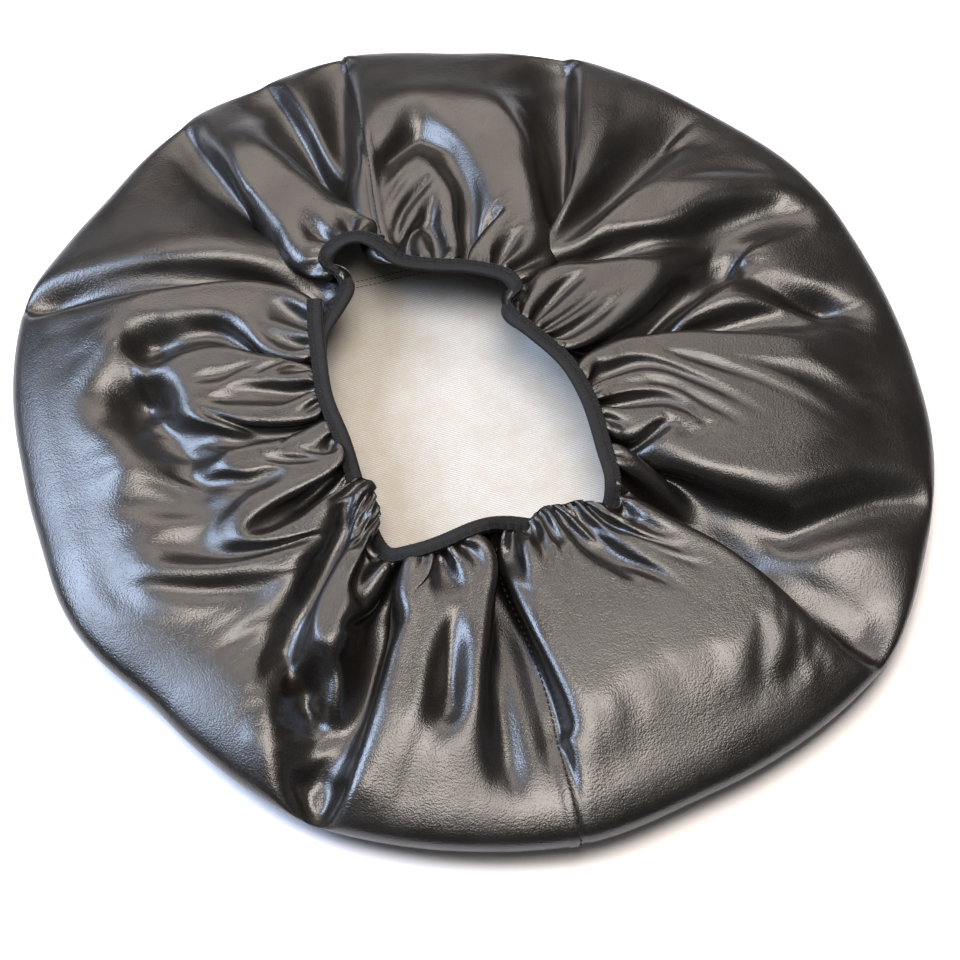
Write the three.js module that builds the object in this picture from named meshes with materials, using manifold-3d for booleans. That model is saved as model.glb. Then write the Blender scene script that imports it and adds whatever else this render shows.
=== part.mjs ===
// A soft spare tire cover, lying on its front panel with its elasticated mouth upwards and no tire inside.
// Millimetres, +Z up. The origin is the middle of the front panel's outer face, which lies on the floor.
// The leathercloth has two layers, a coated skin and a knitted backing, and each is a solid of its own.
import * as THREE from "three";
import { mergeVertices } from "three/addons/utils/BufferGeometryUtils.js";
import Module from "manifold-3d";

// ---- Driving dimensions ----
const COVER_RADIUS = 350; // mean radius of the side band at its widest
const MOUTH_RADIUS = 115; // mean radius of the mouth, to the middle of its binding
const COLLAR_HEIGHT = 66; // top of the slack side band above the floor
const MOUTH_HEIGHT = 57; // middle of the binding above the floor
const SKIN = 0.8; // coated layer of the leathercloth
const BACKING = 0.6; // knitted layer of the leathercloth
const LAYER_GAP = 0.4; // between any two layers that touch
const THREAD = 0.9; // sewing thread
const SEAM_ALLOWANCE = 12; // turned-in edge of the side band
const SEAM_INSET = 12; // the perimeter seam lies this far in from the widest line
const ROW_SPACING = 6; // between the two rows of perimeter stitching
const TOPSTITCH_OFFSET = 3; // from a band seam to its row of topstitching
const TAPE_WIDTH = 12; // folded binding tape
const TAPE = 0.6; // thickness of the binding tape
const ELASTIC_WIDTH = 7;
const ELASTIC = 1.4; // thickness of the elastic
const TAPE_LAP = 14; // overlap of the binding tape's two ends
const JOIN_LENGTH = 10; // zigzag that joins the elastic's ends
const RING_STEP = 6; // degrees turned by each face of a ring
const SEAM_ANGLES = [47 * RING_STEP, 18 * RING_STEP]; // where the halves of the side band meet, front and rear
const LAP_ANGLE = 150; // where the tape's ends overlap
const JOIN_ANGLE = 215; // where the elastic's ends are joined

// How far the slack cover stands off its mean circles: [angle in degrees, millimetres].
const OUTER_SHAPE = [
  [4, -4], [35, 0], [55, 0], [77, 8], [93, 2], [108, 11], [130, 10], [145, 2], [163, 6], [179, -3],
  [201, -13], [227, -20], [252, 1], [283, 10], [308, 6], [324, 11], [338, -3],
];
const MOUTH_SHAPE = [
  [17, -34], [45, -39], [62, -32], [80, -10], [105, 2], [120, 14], [136, 26], [150, 22], [168, 5],
  [190, -5], [208, -8], [229, 0], [250, 24], [264, 18], [284, -4], [302, 3], [316, 16], [332, -6], [350, -26],
];

// ---- Worked out from them ----
const DEGREE = Math.PI / 180;
const RING_STEPS = 360 / RING_STEP;
const CLOTH = SKIN + LAYER_GAP + BACKING;
const PANEL_RADIUS = COVER_RADIUS - SEAM_INSET;
const BAND_FOOT = CLOTH + LAYER_GAP; // the side band's turned-in edge lies on the front panel
const BAND_EDGE = MOUTH_RADIUS + TAPE_WIDTH / 2 + LAYER_GAP; // the side band starts where the tape ends
const BAND_EDGE_HEIGHT = MOUTH_HEIGHT + CLOTH / 2;
const WIDEST_HEIGHT = 0.4 * COLLAR_HEIGHT;
const THREAD_CLEARANCE = LAYER_GAP + THREAD / 2;

const wasm = await Module();
wasm.setup();

// A smooth closed curve of millimetres over angle, through the given points.
function smoothRound(points) {
  const count = points.length;
  const at = (i) => points[(i + count) % count];
  const turned = (from, to) => ((to - from) % 360 + 360) % 360 || 360;
  return (angle) => {
    const i = points.findIndex(([a], k) => turned(a, angle) % 360 < turned(a, at(k + 1)[0]));
    const [a, b, c, d] = [at(i - 1), at(i), at(i + 1), at(i + 2)];
    const span = turned(b[0], c[0]);
    const t = (turned(b[0], angle) % 360) / span;
    const slopeB = ((c[1] - a[1]) / turned(a[0], c[0])) * span;
    const slopeC = ((d[1] - b[1]) / turned(b[0], d[0])) * span;
    const [t2, t3] = [t * t, t * t * t];
    return (2 * t3 - 3 * t2 + 1) * b[1] + (t3 - 2 * t2 + t) * slopeB
      + (3 * t2 - 2 * t3) * c[1] + (t3 - t2) * slopeC;
  };
}
const outerShape = smoothRound(OUTER_SHAPE);
const mouthShape = smoothRound(MOUTH_SHAPE);

// How far a point that is modelled at radius on the mean circles moves outwards at an angle in degrees.
function standOff(radius, angle) {
  const [inner, outer] = [BAND_EDGE + TAPE_WIDTH, PANEL_RADIUS - SEAM_ALLOWANCE];
  const share = THREE.MathUtils.clamp((radius - inner) / (outer - inner), 0, 1);
  return THREE.MathUtils.lerp(mouthShape(angle), outerShape(angle), share);
}

// Moves every vertex of a round geometry to the slack cover's own outline.
function slacken(geometry) {
  const position = geometry.getAttribute("position");
  for (let i = 0; i < position.count; i++) {
    const [x, y] = [position.getX(i), position.getY(i)];
    const radius = Math.hypot(x, y);
    if (radius === 0) continue;
    const angle = (Math.atan2(y, x) / DEGREE + 360) % 360;
    const scale = 1 + standOff(radius, angle) / radius;
    position.setXY(i, x * scale, y * scale);
  }
  return geometry;
}

// ---- Solids ----
function toSolid(geometry) {
  const bare = new THREE.BufferGeometry().setAttribute("position", geometry.getAttribute("position"));
  if (geometry.index) bare.setIndex(geometry.index);
  const merged = mergeVertices(bare, 1e-3);
  return new wasm.Manifold(
    new wasm.Mesh({
      numProp: 3,
      vertProperties: new Float32Array(merged.getAttribute("position").array),
      triVerts: new Uint32Array(merged.index.array),
    }),
  );
}

function toGeometry(solid) {
  const mesh = solid.getMesh();
  const geometry = new THREE.BufferGeometry();
  geometry.setAttribute("position", new THREE.BufferAttribute(new Float32Array(mesh.vertProperties), 3));
  geometry.setIndex(new THREE.BufferAttribute(new Uint32Array(mesh.triVerts), 1));
  geometry.computeVertexNormals();
  return geometry;
}

// A closed profile of [radius, height] points, anticlockwise with radius to the right, turned about Z.
function ring(profile) {
  const points = [...profile, profile[0]].map(([radius, height]) => new THREE.Vector2(radius, height));
  return slacken(new THREE.LatheGeometry(points, RING_STEPS).rotateX(Math.PI / 2));
}

// A line of [radius, height] points moved sideways by distance: to the right as one walks along it.
function beside(line, distance) {
  const normalOf = ([x0, y0], [x1, y1]) => {
    const length = Math.hypot(x1 - x0, y1 - y0);
    return [(y1 - y0) / length, (x0 - x1) / length];
  };
  return line.map((point, i) => {
    const before = normalOf(line[Math.max(i - 1, 0)], line[Math.max(i, 1)]);
    const after = normalOf(line[Math.min(i, line.length - 2)], line[Math.min(i + 1, line.length - 1)]);
    const [nx, ny] = [before[0] + after[0], before[1] + after[1]];
    const reach = (2 * distance) / (nx * nx + ny * ny);
    return [point[0] + nx * reach, point[1] + ny * reach];
  });
}

// The cloth between two distances inside a line, as a closed profile.
function layer(line, near, far) {
  return [...beside(line, far), ...beside(line, near).reverse()];
}

function radialPlate(angle, inner, outer, width, low, high, sideways = 0) {
  const plate = new THREE.BoxGeometry(outer - inner, width, high - low);
  plate.translate((inner + outer) / 2, sideways, (low + high) / 2);
  return toSolid(plate.rotateZ(angle * DEGREE));
}

// ---- Front panel ----
function panelLayer(bottom, thickness) {
  const outline = new THREE.Shape();
  for (let i = 0; i < RING_STEPS; i++) {
    const angle = (360 * i) / RING_STEPS;
    const radius = PANEL_RADIUS + outerShape(angle);
    const [x, y] = [radius * Math.cos(angle * DEGREE), radius * Math.sin(angle * DEGREE)];
    if (i === 0) outline.moveTo(x, y);
    else outline.lineTo(x, y);
  }
  return new THREE.ExtrudeGeometry(outline, { depth: thickness, bevelEnabled: false }).translate(0, 0, bottom);
}

// ---- Side band ----
// The band's outer face, from the mouth outwards, over the top, down the side and in under itself.
const BAND_LINE = [
  [BAND_EDGE, BAND_EDGE_HEIGHT],
  [BAND_EDGE + 0.2 * (COVER_RADIUS - BAND_EDGE), 0.6 * BAND_EDGE_HEIGHT + 0.4 * COLLAR_HEIGHT],
  [BAND_EDGE + 0.5 * (COVER_RADIUS - BAND_EDGE), COLLAR_HEIGHT],
  [COVER_RADIUS - 62, 0.96 * COLLAR_HEIGHT],
  [COVER_RADIUS - 28, 0.82 * COLLAR_HEIGHT],
  [COVER_RADIUS - 8, 0.62 * COLLAR_HEIGHT],
  [COVER_RADIUS, WIDEST_HEIGHT],
  [COVER_RADIUS - 3, 0.18 * COLLAR_HEIGHT],
  [PANEL_RADIUS, BAND_FOOT],
  [PANEL_RADIUS - SEAM_ALLOWANCE, BAND_FOOT],
];

// The left half runs from the rear seam round to the front one, and the right half closes the ring.
function bandHalves(near, far) {
  const blades = SEAM_ANGLES.map((angle) =>
    radialPlate(angle, 0, 2 * COVER_RADIUS, LAYER_GAP, -COLLAR_HEIGHT, 2 * COLLAR_HEIGHT));
  const whole = toSolid(ring(layer(BAND_LINE, near, far)));
  const halves = blades.reduce((solid, blade) => solid.subtract(blade), whole).decompose();
  halves.sort((a, b) => a.boundingBox().min[0] - b.boundingBox().min[0]);
  return halves.map(toGeometry);
}

// A row of thread across the band, beside a seam and between two distances inside the band's outer face.
function threadAcross(seamAngle, sideways, near, far) {
  const line = BAND_LINE.slice(0, -2);
  const window = radialPlate(seamAngle, 0, 2 * COVER_RADIUS, THREAD, 0, 2 * COLLAR_HEIGHT, sideways);
  return toGeometry(toSolid(ring(layer(line, near, far))).intersect(window));
}

// A square row of thread round the cover, with its middle at radius and height.
function threadRound(radius, height) {
  const half = THREAD / 2;
  return ring([
    [radius - half, height - half],
    [radius + half, height - half],
    [radius + half, height + half],
    [radius - half, height + half],
  ]);
}

// ---- Mouth ----
const TAPE_INNER = MOUTH_RADIUS - TAPE_WIDTH / 2;
const TAPE_OUTER = MOUTH_RADIUS + TAPE_WIDTH / 2;
const POCKET = ELASTIC / 2 + LAYER_GAP; // half the height of the room inside the fold
const TAPE_HALF = POCKET + TAPE;
const TAPE_BULGE = TAPE; // the fold is rounded by this much

// The folded tape: closed towards the mouth and open towards the band. grown makes it larger all round.
function tapeProfile(grown) {
  const [high, low] = [MOUTH_HEIGHT + TAPE_HALF + grown, MOUTH_HEIGHT - TAPE_HALF - grown];
  const nose = TAPE_INNER - grown;
  return [
    [nose, MOUTH_HEIGHT - POCKET],
    [nose + TAPE_BULGE, low],
    [TAPE_OUTER, low],
    [TAPE_OUTER, MOUTH_HEIGHT - POCKET],
    [TAPE_INNER + 2 * TAPE, MOUTH_HEIGHT - POCKET],
    [TAPE_INNER + 2 * TAPE, MOUTH_HEIGHT + POCKET],
    [TAPE_OUTER, MOUTH_HEIGHT + POCKET],
    [TAPE_OUTER, high],
    [nose + TAPE_BULGE, high],
    [nose, MOUTH_HEIGHT + POCKET],
  ];
}

// One tape with its two ends overlapped, so it is double for the length of the lap.
function bindingTape() {
  const lapWindow = radialPlate(LAP_ANGLE, 0, COVER_RADIUS, TAPE_LAP, 0, 2 * MOUTH_HEIGHT);
  const lap = toSolid(ring(tapeProfile(TAPE))).intersect(lapWindow);
  return toGeometry(toSolid(ring(tapeProfile(0))).add(lap));
}

const ELASTIC_INNER = TAPE_INNER + 2 * TAPE + LAYER_GAP;
function elastic() {
  const [inner, outer] = [ELASTIC_INNER, ELASTIC_INNER + ELASTIC_WIDTH];
  const [low, high] = [MOUTH_HEIGHT - ELASTIC / 2, MOUTH_HEIGHT + ELASTIC / 2];
  return ring([[inner, low], [outer, low], [outer, high], [inner, high]]);
}

// The zigzag over the elastic's joined ends stands in the open side of the tape, against the elastic's edge.
function elasticJoin() {
  const radius = ELASTIC_INNER + ELASTIC_WIDTH + THREAD_CLEARANCE;
  const window = radialPlate(JOIN_ANGLE, 0, COVER_RADIUS, JOIN_LENGTH, 0, 2 * MOUTH_HEIGHT);
  return toGeometry(toSolid(threadRound(radius, MOUTH_HEIGHT)).intersect(window));
}

// Both rows on the tape lie just above its second layer.
const TAPE_ROW_HEIGHT = MOUTH_HEIGHT + TAPE_HALF + TAPE + THREAD_CLEARANCE;

// The stitching that closes the lap runs across the tape.
function lapStitch() {
  const shift = standOff(MOUTH_RADIUS, LAP_ANGLE);
  const [inner, outer] = [TAPE_INNER + TAPE + shift, TAPE_OUTER - 2 * THREAD - 2 * LAYER_GAP + shift];
  const row = new THREE.BoxGeometry(outer - inner, THREAD, THREAD);
  return row.translate((inner + outer) / 2, 0, TAPE_ROW_HEIGHT).rotateZ(LAP_ANGLE * DEGREE);
}

// ---- Assembly ----
const MATERIALS = {
  skin: new THREE.MeshStandardMaterial({ color: 0x16130f, roughness: 0.35, metalness: 0 }),
  backing: new THREE.MeshStandardMaterial({ color: 0xd9d0c3, roughness: 0.95, metalness: 0 }),
  tape: new THREE.MeshStandardMaterial({ color: 0x2b2a2b, roughness: 0.85, metalness: 0 }),
  elastic: new THREE.MeshStandardMaterial({ color: 0x111111, roughness: 0.8, metalness: 0 }),
  thread: new THREE.MeshStandardMaterial({ color: 0x0c0c0c, roughness: 0.6, metalness: 0 }),
};

const cover = new THREE.Group();
function add(name, geometry, material) {
  const mesh = new THREE.Mesh(geometry, material);
  mesh.name = name;
  cover.add(mesh);
}

add("front_panel_skin", panelLayer(0, SKIN), MATERIALS.skin);
add("front_panel_backing", panelLayer(SKIN + LAYER_GAP, BACKING), MATERIALS.backing);

const [leftSkin, rightSkin] = bandHalves(0, SKIN);
add("side_band_left_skin", leftSkin, MATERIALS.skin);
add("side_band_right_skin", rightSkin, MATERIALS.skin);
const [leftBacking, rightBacking] = bandHalves(SKIN + LAYER_GAP, CLOTH);
add("side_band_left_backing", leftBacking, MATERIALS.backing);
add("side_band_right_backing", rightBacking, MATERIALS.backing);

const ROW_HEIGHT = BAND_FOOT + CLOTH + THREAD_CLEARANCE;
const FIRST_ROW = PANEL_RADIUS - SEAM_ALLOWANCE + THREAD;
add("perimeter_seam_thread", threadRound(FIRST_ROW + ROW_SPACING, ROW_HEIGHT), MATERIALS.thread);
add("perimeter_second_row_thread", threadRound(FIRST_ROW, ROW_HEIGHT), MATERIALS.thread);

for (const [side, angle] of [["front", SEAM_ANGLES[0]], ["rear", SEAM_ANGLES[1]]]) {
  const topstitch = threadAcross(angle, -TOPSTITCH_OFFSET, -LAYER_GAP - THREAD, -LAYER_GAP);
  const seam = threadAcross(angle, 0, CLOTH + LAYER_GAP, CLOTH + LAYER_GAP + THREAD);
  add(`${side}_band_topstitch_thread`, topstitch, MATERIALS.thread);
  add(`${side}_band_seam_thread`, seam, MATERIALS.thread);
}

add("mouth_binding_tape", bindingTape(), MATERIALS.tape);
add("mouth_elastic", elastic(), MATERIALS.elastic);
add("binding_stitch_thread", threadRound(TAPE_OUTER - THREAD, TAPE_ROW_HEIGHT), MATERIALS.thread);
add("elastic_join_thread", elasticJoin(), MATERIALS.thread);
add("binding_lap_thread", lapStitch(), MATERIALS.thread);

export default cover;
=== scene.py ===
"""A slack spare tire cover of black leathercloth, lying on its front panel with its gathered mouth upwards.

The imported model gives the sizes. The side band is cloth that settles into folds between the perimeter seam
and the elasticated mouth, and the other pieces follow its surface. All lengths are in metres.
"""
import logging
import math
from dataclasses import dataclass, field
from enum import Enum

import bpy
import numpy as np
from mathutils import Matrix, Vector
from mathutils.bvhtree import BVHTree


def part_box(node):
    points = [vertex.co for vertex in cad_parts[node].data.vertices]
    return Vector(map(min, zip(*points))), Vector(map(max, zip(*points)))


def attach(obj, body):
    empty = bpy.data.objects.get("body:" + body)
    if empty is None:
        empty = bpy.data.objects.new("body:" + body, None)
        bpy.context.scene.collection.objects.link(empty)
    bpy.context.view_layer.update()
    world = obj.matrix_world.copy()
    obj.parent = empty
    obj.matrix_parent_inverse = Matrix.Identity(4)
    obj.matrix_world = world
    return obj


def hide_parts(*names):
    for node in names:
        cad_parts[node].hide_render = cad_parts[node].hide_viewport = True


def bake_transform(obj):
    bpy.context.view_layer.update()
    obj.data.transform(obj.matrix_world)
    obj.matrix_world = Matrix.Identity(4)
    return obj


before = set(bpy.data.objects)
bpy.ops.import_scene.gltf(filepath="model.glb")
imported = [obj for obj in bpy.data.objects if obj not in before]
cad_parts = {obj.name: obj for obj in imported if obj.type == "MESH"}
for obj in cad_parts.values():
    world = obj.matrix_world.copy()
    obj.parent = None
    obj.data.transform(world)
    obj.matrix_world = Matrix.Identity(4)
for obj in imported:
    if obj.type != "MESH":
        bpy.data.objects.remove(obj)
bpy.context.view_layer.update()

log = logging.getLogger("tire_cover")

MM = 0.001
Array = np.ndarray
Points = tuple[tuple[float, ...], ...]


class Body(Enum):
    """The two bodies of the frame."""

    COVER = "cover"
    RIM = "mouth_rim"


class Slot(Enum):
    """The record's material slots."""

    SKIN = "skin"
    BACKING = "backing"
    TAPE = "tape"
    ELASTIC = "elastic"
    THREAD = "thread"


class Half(Enum):
    """The two halves of the side band, with the angle in degrees where each starts, anticlockwise."""

    LEFT = 108
    RIGHT = 282


# ---- Shape of the slack cover: outline, mouth and hoods ----
# Stand-off of the widest line from its mean circle: angle in degrees, millimetres.
OUTLINE: Points = (
    (4, -12), (15, -13), (26, -10), (35, -4), (44, 0), (55, 0), (67, 8), (77, 13), (93, 9), (108, 24),
    (118, 19), (130, 21), (145, 9), (157, 9), (163, 14), (171, 6), (179, -2), (189, -12), (201, -16),
    (211, -11), (217, -12), (227, -20), (241, -9), (252, 1), (260, 1), (271, 2), (283, 5), (295, -1),
    (308, 3),
    (324, 10), (338, -1), (355, -7),
)
# Middle of the binding, anticlockwise from below its lap: x, y and height above the mouth's mean height, in
# millimetres, and how far its outer edge is rolled up, in degrees.
MOUTH: Points = (
    (-117, 33, 0, 0), (-110, -10, 0, 4), (-95, -50, -2, 0), (-84, -84, -14, -10), (-74, -116, -17, -20),
    (-62, -138, -12, -10), (-44, -142, -2, 4), (-24, -136, 0, 6), (4, -122, -1, 6), (24, -114, -10, -5),
    (62, -112, -20, -20), (94, -103, -14, -10), (100, -84, -2, 0), (95, -58, 0, 6), (85, -15, 0, 4),
    (69, 20, 0, 0), (43, 49, 0, 0), (28, 64, -1, 30), (25, 76, -3, 55), (32, 88, -1, 40), (24, 101, 1, 5),
    (-3, 109, 1, 0), (-34, 111, 1, 0), (-57, 114, 3, 0), (-69, 123, 6, 0), (-85, 132, 8, -5),
    (-101, 132, 5, -5), (-113, 123, 1, 10), (-113, 113, -2, 35), (-103, 105, -3, 35), (-97, 92, -2, 15),
    (-103, 74, -2, 0), (-113, 53, -1, 0),
)
# The tape's first end lies squarely on its last one.
LAP_FIRST: Points = ((-121, 76, 2.8, 0), (-120, 56, 2.6, 0))
LAP_LAST: Points = ((-116, 40, -2.4, 0), (-116, 28, -2.8, 0))
# Where the cloth bulges over the binding and hides it: from and to, in degrees.
HOODED = ((216, 250), (281, 323))
# Share of each of those stretches over which the bulge rises, and falls again.
HOOD_RAMP = 0.42


@dataclass(frozen=True)
class Crease:
    """A fold line of the band in plan, walked from the outside inwards.

    Attributes:
        points: x and y in millimetres.
        depth: how far the cloth dips there, in millimetres; below zero for a ridge.
        left: width of the dip on the left of the line, in millimetres.
        right: width of the dip on the right of the line, in millimetres.
    """

    points: Points
    depth: float
    left: float
    right: float


CREASES = (
    Crease(((-240, 274), (-190, 192), (-135, 131), (-114, 118)), 22, 8, 40),
    Crease(((-172, 316), (-133, 255), (-86, 171), (-77, 141)), 20, 8, 34),
    Crease(((-111, 338), (-105, 277), (-88, 182), (-69, 131)), 20, 10, 26),
    Crease(((79, 340), (75, 244), (60, 151), (38, 96)), 30, 7, 36),
    Crease(((158, 244), (98, 166), (48, 92)), 16, 9, 24),
    Crease(((70, 118), (128, 131), (201, 117), (272, 83)), 12, 14, 10),
    Crease(((272, 83), (198, 64), (125, 50)), 12, 22, 12),
    Crease(((201, 117), (125, 50), (96, 8)), 24, 8, 26),
    Crease(((292, -224), (201, -149), (106, -96)), 28, 7, 48),
    Crease(((58, -275), (42, -224), (28, -169), (22, -116)), 22, 24, 6),
    Crease(((-103, -330), (-82, -269), (-57, -193), (-54, -138)), 34, 22, 8),
    Crease(((-105, -340), (-112, -283), (-111, -232)), 22, 14, 14),
    Crease(((-118, -232), (-147, -193), (-183, -129), (-210, -53), (-240, -9)), 20, 32, 13),
    Crease(((-340, 86), (-256, 97), (-172, 99), (-124, 83)), 18, 18, 7),
    Crease(((-250, 40), (-177, 54), (-124, 54)), 12, 14, 16),
    Crease(((-243, 38), (-247, 14), (-243, -8)), 11, 13, 20),
    Crease(((200, -134), (162, -100), (108, -92)), 14, 12, 12),
    Crease(((325, -87), (292, -87), (232, -112), (163, -79), (118, -44)), 20, 24, 12),
    Crease(((-128, -205), (-120, -150), (-90, -92)), 14, 12, 14),
    Crease(((-18, -262), (-22, -205), (-10, -148)), 16, 12, 12),
    Crease(((22, -300), (8, -208), (6, -137)), 14, 10, 14),
    Crease(((-80, 167), (-86, 233), (-63, 291), (-23, 300), (17, 280), (48, 233), (55, 182)), -7, 15, 15),
    Crease(((-66, 233), (-46, 251), (-23, 238), (-7, 202), (1, 167), (-3, 129)), 13, 12, 14),
    Crease(((100, 136), (159, 147), (237, 174)), 13, 18, 22),
    Crease(((-268, 40), (-268, -20), (-252, -70)), -5, 16, 16),
    Crease(((59, -199), (116, -151), (184, -175)), 4, 30, 26),
)


def smoothstep(low: float, high: float, value: Array | float) -> Array:
    """The smooth share, from 0 at low to 1 at high.

    Args:
        low: value at which the share is 0.
        high: value at which the share is 1; it may be below low.
        value: where the share is wanted.

    Returns:
        The share, of value's shape.
    """
    t = np.clip((np.asarray(value, float) - low) / (high - low), 0.0, 1.0)
    return t * t * (3 - 2 * t)


def smooth_curve(points: Array, count: int, closed: bool) -> Array:
    """A smooth curve through points, at even steps of its first three coordinates.

    Args:
        points: (n, k) points, where any coordinate after the third is carried along.
        count: how many points are wanted.
        closed: whether the curve returns to its start, which is then not repeated.

    Returns:
        (count, k) points, starting at the first one.
    """
    fine = []
    number = len(points)
    for i in range(number if closed else number - 1):
        near = [i + k if closed else min(max(i + k, 0), number - 1) for k in (-1, 0, 1, 2)]
        a, b, c, d = (points[k % number] for k in near)
        t = np.linspace(0, 1, 24, endpoint=False)[:, None]
        fine.append(0.5 * (2 * b + (c - a) * t + (2 * a - 5 * b + 4 * c - d) * t**2
                           + (3 * b - a - 3 * c + d) * t**3))
    line = np.vstack([*fine, fine[0][:1] if closed else points[-1:]])
    steps = np.linalg.norm(np.diff(line[:, :3], axis=0), axis=1)
    along = np.concatenate([[0], np.cumsum(steps)])
    wanted = np.linspace(0, along[-1], count, endpoint=not closed)
    return np.stack([np.interp(wanted, along, line[:, k]) for k in range(line.shape[1])], axis=1)


def outline_radius(angle: Array, mean: float) -> Array:
    """The radius of the cover's widest line.

    Args:
        angle: degrees.
        mean: mean radius of the line.

    Returns:
        Radius for each angle, with the corners a little rounded.
    """
    data = np.array(OUTLINE)
    total = np.zeros_like(np.asarray(angle, float))
    turns = (-3.0, -1.5, 0.0, 1.5, 3.0)
    for turn in turns:
        total += np.interp(np.asarray(angle) + turn, data[:, 0], data[:, 1], period=360)
    return mean + total / len(turns) * MM


def crease_dip(plan: Array, crease: Crease, narrow: float, least: float) -> Array:
    """How strongly a crease acts on points.

    Args:
        plan: (n, 2) places in metres.
        crease: the fold line.
        narrow: factor on both of its widths.
        least: least width on either side, in metres.

    Returns:
        (n,) shares, 1 on the line and fading to both sides.
    """
    line = np.array(crease.points) * MM
    best = np.full(len(plan), np.inf)
    side, along = np.zeros(len(plan)), np.zeros(len(plan))
    for number, (a, b) in enumerate(zip(line[:-1], line[1:])):
        run = b - a
        t = np.clip((plan - a) @ run / (run @ run), 0, 1)
        gap = plan - (a + t[:, None] * run)
        distance = np.hypot(gap[:, 0], gap[:, 1])
        nearer = distance < best
        best = np.where(nearer, distance, best)
        side = np.where(nearer, run[0] * gap[:, 1] - run[1] * gap[:, 0], side)
        along = np.where(nearer, (number + t) / (len(line) - 1), along)
    width = np.maximum(np.where(side > 0, crease.left, crease.right) * MM * narrow, least)
    swell = 0.82 + 0.18 * np.cos(2 * math.pi * (1.3 * along + crease.left / 17))
    return swell * np.exp(-((best / (width * (1.5 - 0.6 * swell))) ** 2))


# ---- Cloth ----
@dataclass(frozen=True)
class Stage:
    """One run of the cloth solver.

    Attributes:
        fineness: the grid has this many times the coarsest number of cells each way.
        steps: solver steps.
        surplus: (share of the band's depth, cloth per length of the creased shape) pairs.
        bend: stiffness against bending, 0 to 1.
        guide: how firmly the cloth is held to its first heights, 0 to 1, fading over the run.
    """

    fineness: int
    steps: int
    surplus: Points
    bend: float
    guide: float


STAGES = (
    Stage(1, 200, ((0, 1), (0.3, 1.0), (0.6, 1.04), (0.8, 1.09), (1, 1.1)), 0.50, 0.15),
    Stage(2, 160, ((0, 1), (0.3, 1.0), (0.6, 1.06), (0.8, 1.17), (1, 1.22)), 0.45, 0.08),
    Stage(4, 130, ((0, 1), (0.3, 1.01), (0.6, 1.09), (0.8, 1.28), (1, 1.5)), 0.35, 0.05),
    Stage(8, 100, ((0, 1), (0.3, 1.01), (0.6, 1.10), (0.8, 1.36), (1, 2.1)), 0.20, 0.03),
)


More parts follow.
